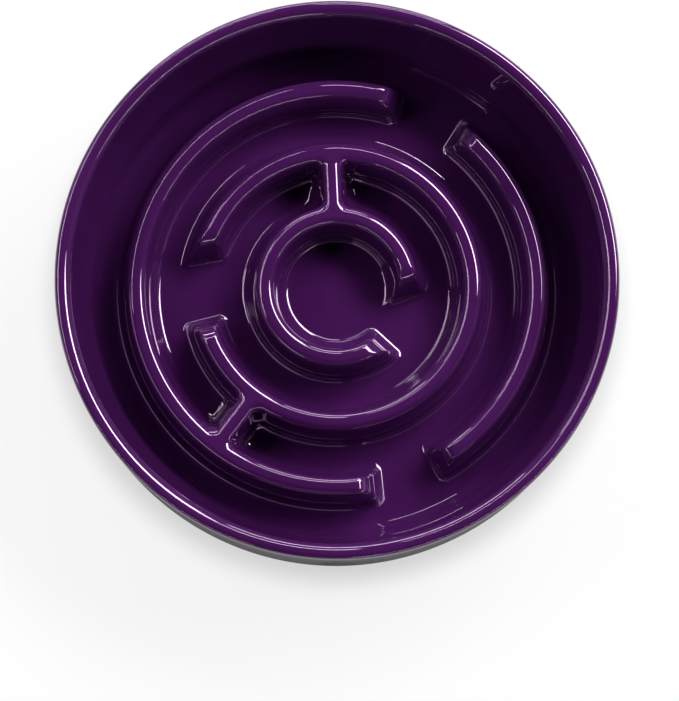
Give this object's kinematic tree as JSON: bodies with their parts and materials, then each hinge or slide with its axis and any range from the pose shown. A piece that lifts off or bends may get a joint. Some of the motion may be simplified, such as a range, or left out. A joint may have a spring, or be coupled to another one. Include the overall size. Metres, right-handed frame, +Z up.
{
  "type": "slow feeder bowl",
  "caption": "Round pet feeding bowl with a maze of broken concentric ridges on its floor, a rounded rim, a hollow outer skirt and plug-in rubber feet.",
  "frame": {"origin": "centre of the circle of feet, on the plane that they stand on", "axes": "+Z up out of the bowl, +X to the right and +Y away from the viewer as in the picture"},
  "size_m": [0.21, 0.21, 0.055],
  "materials": {
    "bowl_shell": "high gloss, dark purple",
    "foot_rubber": "matt, dark grey"
  },
  "bodies": {
    "root": {"bowl": "bowl_shell", "foot_1": "foot_rubber", "foot_2": "foot_rubber", "foot_3": "foot_rubber", "foot_4": "foot_rubber", "foot_5": "foot_rubber", "foot_6": "foot_rubber"}
  },
  "joints": []
}
